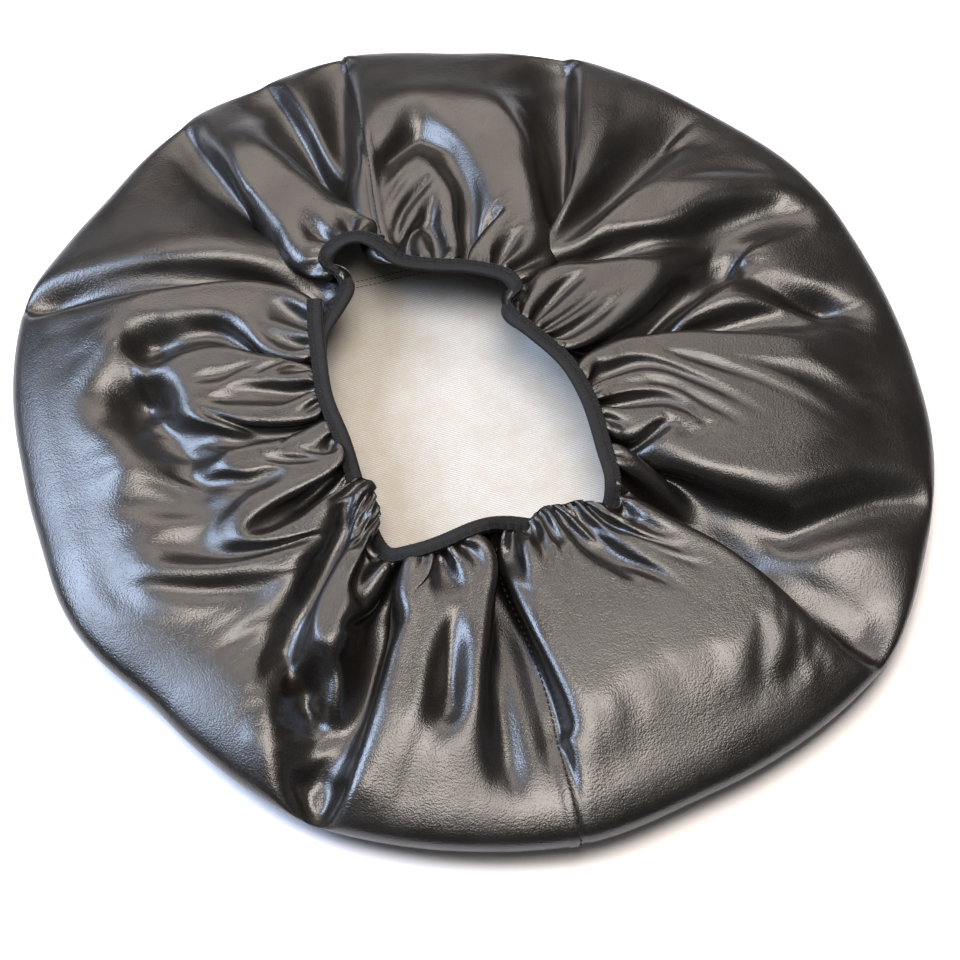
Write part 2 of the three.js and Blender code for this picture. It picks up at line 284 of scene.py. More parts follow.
@dataclass
class BandCloth:
    """The side band's cloth: a strip joined end to end, sewn at its foot and gathered at the mouth.

    Attributes:
        cover_radius: mean radius of the widest line.
        panel_radius: mean radius of the perimeter seam.
        foot: height of the perimeter seam, where the band's edge is sewn down on the front panel.
        top: height of the slack band.
        mouth: height of the binding's middle.
        depth: mean width of the strip, from the perimeter seam to the binding.
        columns: cells round the coarsest grid; four of them divide it.
        rows: cells up the coarsest grid.
        puckers: gathers at the binding.
        tape_cover: how far outside the binding's middle the cloth ends.
        seed: for the puckers' sizes.
    """

    cover_radius: float
    panel_radius: float
    foot: float
    top: float
    mouth: float
    depth: float = 0.284
    columns: int = 108
    rows: int = 15
    puckers: int = 64
    tape_cover: float = 3.6 * MM
    seed: int = 7

    def rim_curve(self, count: int) -> Array:
        """(count, 3) points along the middle of the binding, matched to even steps along the strip."""
        rim = np.array(MOUTH)[:, :3] * MM
        rim[:, 2] += self.mouth
        fine = smooth_curve(rim, 1440, True)
        along = np.roll(fine, -4, axis=0) - np.roll(fine, 4, axis=0)
        outwards = np.stack([along[:, 1], -along[:, 0]], axis=1)
        outwards /= np.linalg.norm(outwards, axis=1)[:, None]
        fine[:, :2] += outwards * self.tape_cover
        angle = np.unwrap(np.arctan2(fine[:, 1], fine[:, 0]))
        angle = np.maximum.accumulate(angle)
        angle += np.linspace(0, 1e-3, len(angle))
        even = np.linspace(0, 1, len(fine), endpoint=False)
        start = angle[0]
        turned = (angle - start) / (2 * math.pi)
        wanted = np.linspace(0, 1, count, endpoint=False)
        wanted_turn = wanted - start / (2 * math.pi)
        lead = np.interp(wanted_turn % 1, turned, even) + np.floor(wanted_turn) - wanted
        around = np.concatenate([lead, lead, lead])
        window = max(3, count // 12)
        for _ in range(2):
            around = np.convolve(around, np.ones(window) / window, mode="same")
        share = wanted + 0.7 * around[count:2 * count] + 0.3 * np.mean(lead)
        return np.stack([np.interp(share % 1, np.append(even, 1), np.append(fine[:, k], fine[0, k]))
                         for k in range(3)], axis=1)

    def seam_curve(self, count: int) -> Array:
        """(count, 3) points along the perimeter seam, at even steps of the strip."""
        angle = np.linspace(0, 360, 1440, endpoint=False)
        radius = outline_radius(angle, self.panel_radius)
        x, y = radius * np.cos(np.radians(angle)), radius * np.sin(np.radians(angle))
        points = np.stack([x, y, np.full_like(x, self.foot)], axis=1)
        closed = np.vstack([points, points[:1]])
        along = np.concatenate([[0], np.cumsum(np.linalg.norm(np.diff(closed, axis=0), axis=1))])
        wanted = np.linspace(0, along[-1], count, endpoint=False)
        return np.stack([np.interp(wanted, along, closed[:, k]) for k in range(3)], axis=1)

    @staticmethod
    def hood_share(rim: Array) -> Array:
        """How far each point of the rim is hidden by cloth that bulges over it, 0 to 1."""
        angle = np.degrees(np.arctan2(rim[:, 1], rim[:, 0])) % 360
        hoods = ((low, high, HOOD_RAMP * (high - low)) for low, high in HOODED)
        return sum(smoothstep(low, low + ramp, angle) * smoothstep(high, high - ramp, angle)
                   for low, high, ramp in hoods)

    def first_shape(self, fineness: int) -> Array:
        """The creased strip before it settles.

        Args:
            fineness: the grid has this many times the coarsest number of cells each way.

        Returns:
            (rows * fineness + 1, columns * fineness, 3) places.
        """
        seam, rim = self.seam_curve(self.columns * fineness), self.rim_curve(self.columns * fineness)
        up = np.linspace(0, 1, self.rows * fineness + 1)
        # Share of the depth, share of the way in to the rim, and height as a share of the top.
        profile = np.array((
            (0, 0, 0.03), (0.035, -0.035, 0.15), (0.07, -0.062, 0.30), (0.10, -0.066, 0.41),
            (0.125, -0.050, 0.49), (0.16, -0.012, 0.555), (0.24, 0.08, 0.65), (0.36, 0.225, 0.77),
            (0.50, 0.40, 0.89), (0.64, 0.565, 0.97), (0.82, 0.78, 0.98), (1.0, 1.0, 0.86),
        ))
        steps = np.linspace(-0.02, 0.02, 5)
        inwards, height = (np.mean([np.interp(up + step, profile[:, 0], profile[:, k]) for step in steps],
                                   axis=0)
                           for k in (1, 2))
        x, y = (seam[:, k] + inwards[:, None] * (rim[:, k] - seam[:, k]) for k in (0, 1))
        z = height[:, None] * self.top + smoothstep(0.6, 1, up)[:, None] * (rim[:, 2] - 0.86 * self.top)
        points = np.stack([x, y, z], axis=2)
        points[0], points[-1] = seam, rim
        self.press(points, 1.0, 1.0, 15 * MM / fineness**0.7)
        self._hood(points, up)
        points[1:-1, :, 2] = np.maximum(points[1:-1, :, 2], self.lowest(points)[1:-1])
        return points

    def press(self, points: Array, share: float, narrow: float, least: float) -> None:
        """Presses the creases into the strip, apart from its edges.

        Args:
            points: the strip, changed in place.
            share: share of each crease's depth.
            narrow: factor on the creases' widths.
            least: least width of a crease.
        """
        plan = points.reshape(-1, 3)[:, :2]
        dip = sum(crease.depth * crease_dip(plan, crease, narrow, least) for crease in CREASES) * MM * share
        up = np.linspace(0, 1, len(points))
        fade = smoothstep(0.05, 0.25, up) * smoothstep(1, 0.85, up)
        points[:, :, 2] -= np.minimum(dip, 0.8 * self.top).reshape(points.shape[:2]) * fade[:, None]

    def _hood(self, points: Array, up: Array) -> None:
        """Bulges the strip over the binding where the cloth hides it.

        Args:
            points: the strip, changed in place.
            up: each row's share of the depth.
        """
        inwards = -points[-1, :, :2] / np.linalg.norm(points[-1, :, :2], axis=1)[:, None]
        share = self.hood_share(points[-1])
        bulge = smoothstep(0.45, 0.93, up) * (up < 1)
        points[:, :, :2] += bulge[:, None, None] * share[None, :, None] * inwards[None] * 21 * MM
        near = (smoothstep(0.75, 0.93, up) * (up < 1))[:, None] * share[None, :]
        points[:, :, 2] += near * (points[-1, :, 2] + 14 * MM - points[:, :, 2])

    def pucker(self, points: Array) -> None:
        """Seeds the small gathers beside the binding.

        Args:
            points: the finest strip, changed in place.
        """
        rows, columns = points.shape[:2]
        dice = np.random.default_rng(self.seed)
        up = np.linspace(0, 1, rows)[:, None]
        widths = dice.uniform(0.6, 1.4, self.puckers)
        edges = np.concatenate([[0], np.cumsum(widths) / widths.sum()])
        place = np.linspace(0, 1, columns, endpoint=False)
        which = np.clip(np.searchsorted(edges, place, side="right") - 1, 0, self.puckers - 1)
        within = (place - edges[which]) / (edges[which + 1] - edges[which])
        reach = dice.uniform(0.60, 0.84, self.puckers)[which][None, :]
        height = dice.uniform(0.6, 1.2, self.puckers)[which][None, :]
        height = height * (1 - 0.8 * self.hood_share(points[-1]))
        fade = smoothstep(0, 1, (up - reach) / (0.95 - reach)) * smoothstep(1.0, 0.965, up)
        points[:, :, 2] += 6.0 * MM * height * fade * np.sin(2 * math.pi * within)[None, :]

    @staticmethod
    def finer(points: Array) -> Array:
        """The same strip with twice the cells each way, by cubic interpolation."""
        around = np.roll(points, -1, axis=1)
        before, after = np.roll(points, 1, axis=1), np.roll(points, -2, axis=1)
        middle = (9 * (points + around) - before - after) / 16
        wide = np.stack([points, middle], axis=2).reshape(points.shape[0], -1, 3)
        padded = np.vstack([2 * wide[:1] - wide[1:2], wide, 2 * wide[-1:] - wide[-2:-1]])
        between = (9 * (padded[1:-2] + padded[2:-1]) - padded[:-3] - padded[3:]) / 16
        tall = np.empty((2 * wide.shape[0] - 1, wide.shape[1], 3))
        tall[0::2], tall[1::2] = wide, between
        return tall

    def links(self, shape: Array, stage: Stage) -> list[tuple[Array, Array, Array, float]]:
        """The distances that the cloth keeps, in groups that share no point.

        Args:
            shape: (rows, columns, 3) creased shape that the cloth is cut to.
            stage: the run they are for.

        Returns:
            (first points, second points, distances, stiffness) for each group.
        """
        rows, columns = shape.shape[:2]
        data = np.array(stage.surplus)
        spare = np.interp(np.linspace(0, 1, rows), data[:, 0], data[:, 1])[:, None]
        spare = 1 + (spare - 1) * (1 - 0.4 * self.hood_share(shape[-1]))[None, :]
        flat = shape.reshape(-1, 3)
        groups = []
        for down, across, stiffness in ((0, 1, 1.0), (1, 0, 1.0), (1, 1, 0.45), (1, -1, 0.45),
                                        (0, 2, stage.bend), (2, 0, stage.bend), (0, 4, stage.bend / 2),
                                        (4, 0, stage.bend / 2), (0, 8, stage.bend / 4)):
            row = np.arange(rows - down)[:, None]
            column = np.arange(columns)[None, :]
            first = row * columns + column
            second = (row + down) * columns + (column + across) % columns
            rest = np.linalg.norm(flat[first] - flat[second], axis=2)
            rest *= spare[row, column] if across and not down else 1.0
            turn = row // down + 0 * column if down else column // across + 0 * row
            for parity in (0, 1):
                chosen = turn % 2 == parity
                groups.append((first[chosen], second[chosen], rest[chosen], stiffness))
        return groups

    def settle(self, points: Array, shape: Array, stage: Stage) -> Array:
        """Lets the strip find its folds.

        Args:
            points: (rows, columns, 3) places.
            shape: the creased shape that the cloth is cut to.
            stage: the run's settings.

        Returns:
            The settled places, of the same shape.
        """
        rows, columns = points.shape[:2]
        groups = self.links(shape, stage)
        free = np.ones((rows, columns))
        free[0] = free[-1] = 0
        free = free.reshape(-1).astype(np.float32)
        here = points.reshape(-1, 3).astype(np.float32)
        before = here.copy()
        start = here.copy()
        firm = self.firmness(points).reshape(-1, 1).astype(np.float32)
        least = self.lowest(points).reshape(-1).astype(np.float32)
        for step in range(stage.steps):
            speed = (here - before) * np.float32(0.93)
            before = here.copy()
            here += speed * free[:, None]
            here += (start - here) * firm
            hold = stage.guide * (1 - 0.7 * step / stage.steps)
            here[:, 2] += (start[:, 2] - here[:, 2]) * np.float32(hold) * free
            for first, second, rest, stiffness in groups:
                a, b = here[first], here[second]
                gap = b - a
                length = np.sqrt((gap * gap).sum(axis=1)) + 1e-9
                total = free[first] + free[second] + 1e-9
                move = gap * (stiffness * (length - rest) / (length * total)).astype(np.float32)[:, None]
                here[first] = a + move * free[first][:, None]
                here[second] = b - move * free[second][:, None]
            self._stay_inside(here, free, least)
        return here.reshape(points.shape).astype(float)

    def firmness(self, points: Array) -> Array:
        """How firmly each point keeps its place: the seam allowance stiffens the wall, and hoods stay over the rim.

        Args:
            points: (rows, columns, 3) places.

        Returns:
            (rows, columns) shares.
        """
        up = np.linspace(0, 1, len(points))
        wall = 0.14 * smoothstep(0.26, 0.10, up)[:, None] * (up > 0)[:, None]
        lip = 0.2 * (smoothstep(0.80, 0.88, up) * (up < 1))[:, None] * self.hood_share(points[-1])[None, :]
        return np.maximum(wall, lip)

    def lowest(self, points: Array) -> Array:
        """The least height of each point, which keeps both layers clear of the front panel."""
        up = np.linspace(0, 1, len(points))
        return (self.foot + 7.5 * MM * smoothstep(0, 0.09, up))[:, None] + np.zeros(points.shape[:2])

    def _stay_inside(self, here: Array, free: Array, least: Array) -> None:
        """Keeps the cloth above the front panel, under its top and inside the outline.

        Args:
            here: places, changed in place.
            free: 1 for each point that may move.
            least: the least height of each point.
        """
        moving = free > 0
        height = here[:, 2]
        height -= 0.10 * np.maximum(height - self.top + 9 * MM, 0).astype(np.float32) * free
        wanted = least + 7 * MM * (least > self.foot + 7 * MM)
        height += 0.10 * np.maximum(wanted - height, 0).astype(np.float32) * free
        here[moving, 2] = np.clip(height[moving], least[moving], self.top + 12 * MM)
        radius = np.hypot(here[:, 0], here[:, 1])
        angle = np.degrees(np.arctan2(here[:, 1], here[:, 0]))
        tuck = 14 * MM * (1 - np.clip(here[:, 2] / (0.4 * self.top), 0, 1)) ** 2
        most = (outline_radius(angle, self.cover_radius) - tuck).astype(np.float32)
        outside = moving & (radius > most)
        here[outside, :2] *= (most[outside] / radius[outside])[:, None]

    def shape(self) -> Array:
        """The settled strip: (rows, columns, 3) places."""
        model = points = self.first_shape(1)
        for stage in STAGES:
            while points.shape[1] < self.columns * stage.fineness:
                finer_model = self.first_shape(points.shape[1] * 2 // self.columns)
                points = self.finer(points) + finer_model - self.finer(model)
                model = finer_model
            if stage is STAGES[-1]:
                self.pucker(points)
                points[-1] = self.rim_curve(points.shape[1])
            points = self.settle(points, model, stage)
        up = np.linspace(0, 1, len(points))[1:-1, None, None]
        for turn in range(5):
            beside = np.roll(points, 1, 1) + np.roll(points, -1, 1)
            smooth = 0.5 * points[1:-1] + 0.125 * (points[:-2] + points[2:] + beside[1:-1])
            share = 1.0 if turn < 2 else smoothstep(0.85, 0.6, up)
            points[1:-1] += share * (smooth - points[1:-1])
        points[1:-1, :, 2] = np.maximum(points[1:-1, :, 2], self.lowest(points)[1:-1])
        return points


# ---- Finishes ----
def linear(colour: str) -> tuple[float, float, float, float]:
    """The linear colour of an sRGB hex colour.

    Args:
        colour: six hex digits.

    Returns:
        Red, green, blue and alpha.
    """
    parts = [int(colour[i:i + 2], 16) / 255 for i in (0, 2, 4)]
    red, green, blue = (c / 12.92 if c <= 0.04045 else ((c + 0.055) / 1.055) ** 2.4 for c in parts)
    return red, green, blue, 1.0


def add_node(tree: bpy.types.NodeTree, kind: str, inputs: dict[int | str, object] | None = None,
             **settings: object) -> bpy.types.Node:
    """Adds a node with its settings and links.

    Args:
        tree: the tree it belongs to.
        kind: its type.
        inputs: for each socket, a value or the output socket that feeds it.
        settings: properties of the node.

    Returns:
        The node.
    """
    node = tree.nodes.new(kind)
    for name, value in settings.items():
        setattr(node, name, value)
    for name, value in (inputs or {}).items():
        if isinstance(value, bpy.types.NodeSocket):
            tree.links.new(value, node.inputs[name])
        else:
            node.inputs[name].default_value = value
    return node


def new_material(name: str) -> tuple[bpy.types.Material, bpy.types.NodeTree]:
    """An empty node material and its tree."""
    material = bpy.data.materials.new(name)
    material.use_nodes = True
    material.node_tree.nodes.clear()
    return material, material.node_tree


@dataclass(frozen=True)
class Leathercloth:
    """Polyurethane-coated cloth, embossed with a fine leather grain and calendered to a soft gloss.

    The coating reflects broad soft shapes, broken up by pebbles about a millimetre across and by short
    creases where the cloth has been handled.

    Attributes:
        name: material name.
        dark: colour of the grain's valleys.
        light: colour of the worn tops.
        pebble: grain size; the real grain is about 0.7 mm and is drawn coarser so that it shows.
        crease: spacing of the handling creases.
    """

    name: str = "leathercloth_embossed"
    dark: str = "0b0908"
    light: str = "15120f"
    pebble: float = 1.3 * MM
    crease: float = 2.0 * MM

    def build(self) -> bpy.types.Material:
        """The material; it reads the cloth map, in metres."""
        material, tree = new_material(self.name)
        place = add_node(tree, "ShaderNodeUVMap", uv_map="cloth").outputs[0]
        bend = add_node(tree, "ShaderNodeTexNoise", {"Vector": place, "Scale": 160, "Detail": 2})
        warped = add_node(tree, "ShaderNodeVectorMath", {0: bend.outputs["Color"], 1: (0.0012,) * 3},
                          operation="MULTIPLY")
        moved = add_node(tree, "ShaderNodeVectorMath", {0: place, 1: warped.outputs[0]},
                         operation="ADD").outputs[0]
        pebbles = add_node(tree, "ShaderNodeTexVoronoi", {"Vector": moved, "Scale": 1 / self.pebble},
                           feature="SMOOTH_F1").outputs[0]
        stretched = add_node(tree, "ShaderNodeMapping",
                             {"Vector": moved, "Scale": (0.5, 1.0, 1.0)}).outputs[0]
        creases = add_node(tree, "ShaderNodeTexNoise",
                           {"Vector": stretched, "Scale": 1 / self.crease, "Detail": 3, "Roughness": 0.55})
        drape = add_node(tree, "ShaderNodeTexNoise", {"Vector": place, "Scale": 22, "Detail": 3}).outputs[0]
        grain = add_node(tree, "ShaderNodeBump",
                         {"Strength": 0.45, "Distance": 0.35 * MM, "Height": pebbles}, invert=True)
        folds = add_node(tree, "ShaderNodeBump",
                         {"Strength": 0.24, "Distance": 0.6 * MM, "Height": creases.outputs[0],
                          "Normal": grain.outputs[0]})
        soft = add_node(tree, "ShaderNodeBump",
                        {"Strength": 0.22, "Distance": 3 * MM, "Height": drape, "Normal": folds.outputs[0]})
        worn = add_node(tree, "ShaderNodeMapRange", {0: pebbles, 1: 0.15, 2: 0.75},
                        interpolation_type="SMOOTHSTEP")
        roughness = add_node(tree, "ShaderNodeMapRange", {0: drape, 1: 0.35, 2: 0.65, 3: 0.28, 4: 0.37},
                             interpolation_type="SMOOTHSTEP").outputs[0]
        colour = add_node(tree, "ShaderNodeMix",
                          {0: worn.outputs[0], 6: linear(self.light), 7: linear(self.dark)},
                          data_type="RGBA").outputs[2]
        shader = add_node(tree, "ShaderNodeBsdfPrincipled", {
            "Base Color": colour, "Roughness": roughness,
            "IOR": 1.62, "Normal": soft.outputs[0]})
        add_node(tree, "ShaderNodeOutputMaterial", {0: shader.outputs[0]})
        return material


@dataclass(frozen=True)
class KnitBacking:
    """Cotton-blend weft knit bonded behind the coating: matte, undyed, with fine ribs on the skew.

    Attributes:
        name: material name.
        light: colour of the ribs.
        dark: colour between the ribs.
        aged: colour of the cloudy patches.
        rib: spacing of the ribs; about 1.1 mm, drawn coarser so that they show.
    """

    name: str = "cotton_knit_undyed"
    light: str = "b7b6b2"
    dark: str = "97938c"
    aged: str = "a29c90"
    rib: float = 1.8 * MM

    def build(self) -> bpy.types.Material:
        """The material; it reads the cloth map, in metres."""
        material, tree = new_material(self.name)
        place = add_node(tree, "ShaderNodeUVMap", uv_map="cloth").outputs[0]
        turned = add_node(tree, "ShaderNodeMapping",
                          {"Vector": place, "Rotation": (0, 0, math.radians(20))}).outputs[0]
        ribs = add_node(tree, "ShaderNodeTexWave",
                        {"Vector": turned, "Scale": 2 * math.pi / (20 * self.rib), "Distortion": 0.8,
                         "Detail": 2,
                         "Detail Scale": 3.0}, bands_direction="Y").outputs[1]
        loops = add_node(tree, "ShaderNodeTexNoise",
                         {"Vector": turned, "Scale": 700, "Detail": 2}).outputs[0]
        fuzz = add_node(tree, "ShaderNodeTexNoise", {"Vector": place, "Scale": 60, "Detail": 4}).outputs[0]
        blotch = add_node(tree, "ShaderNodeTexNoise",
                          {"Vector": place, "Scale": 45, "Detail": 5, "Roughness": 0.7}).outputs[0]
        stripes = add_node(tree, "ShaderNodeMath", {0: ribs, 1: loops}, operation="MULTIPLY").outputs[0]
        raised = add_node(tree, "ShaderNodeMapRange", {0: stripes, 1: 0.1, 2: 0.5, 3: 0.2, 4: 1.0},
                          interpolation_type="SMOOTHSTEP").outputs[0]
        base = add_node(tree, "ShaderNodeMix", {0: raised, 6: linear(self.dark), 7: linear(self.light)},
                        data_type="RGBA").outputs[2]
        cloud = add_node(tree, "ShaderNodeMapRange", {0: blotch, 1: 0.4, 2: 0.65, 3: 0.0, 4: 0.6},
                         interpolation_type="SMOOTHSTEP").outputs[0]
        cloudy = add_node(tree, "ShaderNodeMix", {0: cloud, 6: base, 7: linear(self.aged)},
                          data_type="RGBA").outputs[2]
        bump = add_node(tree, "ShaderNodeBump", {"Strength": 0.5, "Distance": 0.3 * MM, "Height": stripes})
        soft = add_node(tree, "ShaderNodeBump",
                        {"Strength": 0.3, "Distance": 1.5 * MM, "Height": fuzz, "Normal": bump.outputs[0]})
        shader = add_node(tree, "ShaderNodeBsdfPrincipled", {
            "Base Color": cloudy, "Roughness": 0.95, "Specular IOR Level": 0.2, "Sheen Weight": 0.25,
            "Sheen Roughness": 0.5,
            "Normal": soft.outputs[0]})
        add_node(tree, "ShaderNodeOutputMaterial", {0: shader.outputs[0]})
        return material


@dataclass(frozen=True)
class WovenTape:
    """Polyester binding woven in a fine rib across its length: charcoal, with a slight sheen on its fold.

    Attributes:
        name: material name.
        fold: colour of the rolled fold.
        edge: colour of the stitched edge.
        lint: colour of the dust caught in the weave.
        rib: spacing of the cross ribs; about 0.4 mm, drawn coarser so that they show.
    """

    name: str = "polyester_tape_woven"
    fold: str = "151516"
    edge: str = "09090a"
    lint: str = "5a5858"
    rib: float = 1.1 * MM

    def build(self) -> bpy.types.Material:
        """The material; it reads the cloth map: along the tape, and across it from the fold, in metres."""
        material, tree = new_material(self.name)
        place = add_node(tree, "ShaderNodeUVMap", uv_map="cloth").outputs[0]
        across = add_node(tree, "ShaderNodeSeparateXYZ", {0: place}).outputs[1]
        ribs = add_node(tree, "ShaderNodeTexWave",
                        {"Vector": place, "Scale": 2 * math.pi / (20 * self.rib), "Distortion": 0.6,
                         "Detail": 1},
                        bands_direction="X").outputs[1]
        lint = add_node(tree, "ShaderNodeTexNoise", {"Vector": place, "Scale": 900, "Detail": 2}).outputs[0]
        share = add_node(tree, "ShaderNodeMapRange", {0: across, 1: 6.2 * MM, 2: 7.6 * MM},
                         interpolation_type="SMOOTHSTEP").outputs[0]
        body = add_node(tree, "ShaderNodeMix", {0: share, 6: linear(self.fold), 7: linear(self.edge)},
                        data_type="RGBA").outputs[2]
        dust = add_node(tree, "ShaderNodeMapRange", {0: lint, 1: 0.55, 2: 0.8, 3: 0.0, 4: 0.25},
                        interpolation_type="SMOOTHSTEP").outputs[0]
        dusty = add_node(tree, "ShaderNodeMix", {0: dust, 6: body, 7: linear(self.lint)},
                         data_type="RGBA").outputs[2]
        bump = add_node(tree, "ShaderNodeBump", {"Strength": 0.45, "Distance": 0.2 * MM, "Height": ribs})
        shader = add_node(tree, "ShaderNodeBsdfPrincipled", {
            "Base Color": dusty, "Roughness": 0.7, "Specular IOR Level": 0.2, "Sheen Weight": 0.12,
            "Sheen Roughness": 0.35,
            "Normal": bump.outputs[0]})
        add_node(tree, "ShaderNodeOutputMaterial", {0: shader.outputs[0]})
        return material


@dataclass(frozen=True)
class TwistedThread:
    """Bonded polyester sewing thread, twisted from filaments: black with small glints on the twist."""

    name: str = "polyester_thread_twisted"
    colour: str = "0b0b0c"
    glint: str = "1c1c1e"

    def build(self) -> bpy.types.Material:
        """The material; it reads object coordinates, at the twist's pitch of 0.8 mm."""
        material, tree = new_material(self.name)
        place = add_node(tree, "ShaderNodeTexCoord").outputs["Object"]
        twist = add_node(tree, "ShaderNodeTexWave",
                         {"Vector": place, "Scale": 2 * math.pi / (20 * 0.8 * MM), "Distortion": 1.0},
                         bands_direction="DIAGONAL").outputs[1]
        bump = add_node(tree, "ShaderNodeBump", {"Strength": 0.5, "Distance": 0.15 * MM, "Height": twist})
        colour = add_node(tree, "ShaderNodeMix", {0: twist, 6: linear(self.colour), 7: linear(self.glint)},
                          data_type="RGBA").outputs[2]
        shader = add_node(tree, "ShaderNodeBsdfPrincipled", {
            "Base Color": colour, "Roughness": 0.5, "Specular IOR Level": 0.3,
            "Normal": bump.outputs[0]})
        add_node(tree, "ShaderNodeOutputMaterial", {0: shader.outputs[0]})
        return material


@dataclass(frozen=True)
class BraidedElastic:
    """Rubber cores in a braided polyester jacket: dull black with a fine diagonal braid."""

    name: str = "elastic_braided"
    colour: str = "151515"
    raised: str = "262626"

    def build(self) -> bpy.types.Material:
        """The material; it reads the cloth map, with a braid of 1 mm."""
        material, tree = new_material(self.name)
        place = add_node(tree, "ShaderNodeUVMap", uv_map="cloth").outputs[0]
        braid = add_node(tree, "ShaderNodeTexChecker", {"Vector": place, "Scale": 1 / MM}).outputs[1]
        bump = add_node(tree, "ShaderNodeBump", {"Strength": 0.5, "Distance": 0.2 * MM, "Height": braid})
        colour = add_node(tree, "ShaderNodeMix", {0: braid, 6: linear(self.colour), 7: linear(self.raised)},
                          data_type="RGBA").outputs[2]
        shader = add_node(tree, "ShaderNodeBsdfPrincipled", {
            "Base Color": colour, "Roughness": 0.8,
            "Normal": bump.outputs[0]})
        add_node(tree, "ShaderNodeOutputMaterial", {0: shader.outputs[0]})
        return material


@dataclass(frozen=True)
class PaperSweep:
    """Matte white paper under the object."""

    name: str = "paper_matte"
    colour: str = "f4f3f5"

    def build(self) -> bpy.types.Material:
        """The material: plain, with a faint tooth of 2 mm."""
        material, tree = new_material(self.name)
        place = add_node(tree, "ShaderNodeTexCoord").outputs["Object"]
        tooth = add_node(tree, "ShaderNodeTexNoise", {"Vector": place, "Scale": 500}).outputs[0]
        bump = add_node(tree, "ShaderNodeBump", {"Strength": 0.05, "Distance": 0.1 * MM, "Height": tooth})
        shader = add_node(tree, "ShaderNodeBsdfPrincipled", {
            "Base Color": linear(self.colour), "Roughness": 0.9, "Normal": bump.outputs[0]})
        add_node(tree, "ShaderNodeOutputMaterial", {0: shader.outputs[0]})
        return material


@dataclass
class Finishes:
    """Every finish of the cover, built once."""

    skin: bpy.types.Material = field(default_factory=lambda: Leathercloth().build())
    backing: bpy.types.Material = field(default_factory=lambda: KnitBacking().build())
    tape: bpy.types.Material = field(default_factory=lambda: WovenTape().build())
    thread: bpy.types.Material = field(default_factory=lambda: TwistedThread().build())
    elastic: bpy.types.Material = field(default_factory=lambda: BraidedElastic().build())


# ---- Meshes ----
def new_piece(name: str, vertices: Array, faces: Array, uv: Array, material: bpy.types.Material,
              normals: Array | None = None) -> bpy.types.Object:
    """A smooth mesh object at the origin, with its cloth map.

    Args:
        name: piece name.
        vertices: (n, 3) places.
        faces: (m, 4) corners, with outward sides anticlockwise.
        uv: (n, 2) places on the cloth, in metres.
        material: its finish.
        normals: (n, 3) directions, where a piece continues its neighbour's smooth surface.

    Returns:
        The object.
    """
    mesh = bpy.data.meshes.new(name)
    mesh.from_pydata(vertices.tolist(), [], faces.tolist())
    mesh.shade_smooth()
    layer = mesh.uv_layers.new(name="cloth")
    corners = np.empty(len(mesh.loops), np.int32)
    mesh.loops.foreach_get("vertex_index", corners)
    layer.data.foreach_set("uv", uv[corners].astype(np.float32).reshape(-1))
    mesh.materials.append(material)
    mesh.validate()
    if normals is not None:
        mesh.normals_split_custom_set_from_vertices(normals.tolist())
    piece = bpy.data.objects.new(name, mesh)
    bpy.context.scene.collection.objects.link(piece)
    return piece


def shell_faces(quads: Array, count: int) -> Array:
    """Closes a patch of quads and its offset copy into one thin body.

    Args:
        quads: (m, 4) corners on the outer side.
        count: how many vertices come before the inner copy's.

    Returns:
        The faces of both sides and of the edge between them.
    """
    edges = np.concatenate([quads[:, [k, (k + 1) % 4]] for k in range(4)])
    key = np.sort(edges, axis=1)
    _, where, times = np.unique(key, axis=0, return_inverse=True, return_counts=True)
    border = edges[times[where.reshape(-1)] == 1]
    wall = np.stack([border[:, 1], border[:, 0], border[:, 0] + count, border[:, 1] + count], axis=1)
    return np.concatenate([quads, quads[:, ::-1] + count, wall])


def grid_normals(points: Array) -> Array:
    """Unit directions out of a strip that is closed round on itself; points and result are (rows, columns, 3)."""
    around = np.roll(points, -1, 1) - np.roll(points, 1, 1)
    up = np.gradient(points, axis=0)
    normal = np.cross(around, up)
    return normal / np.maximum(np.linalg.norm(normal, axis=2), 1e-12)[..., None]


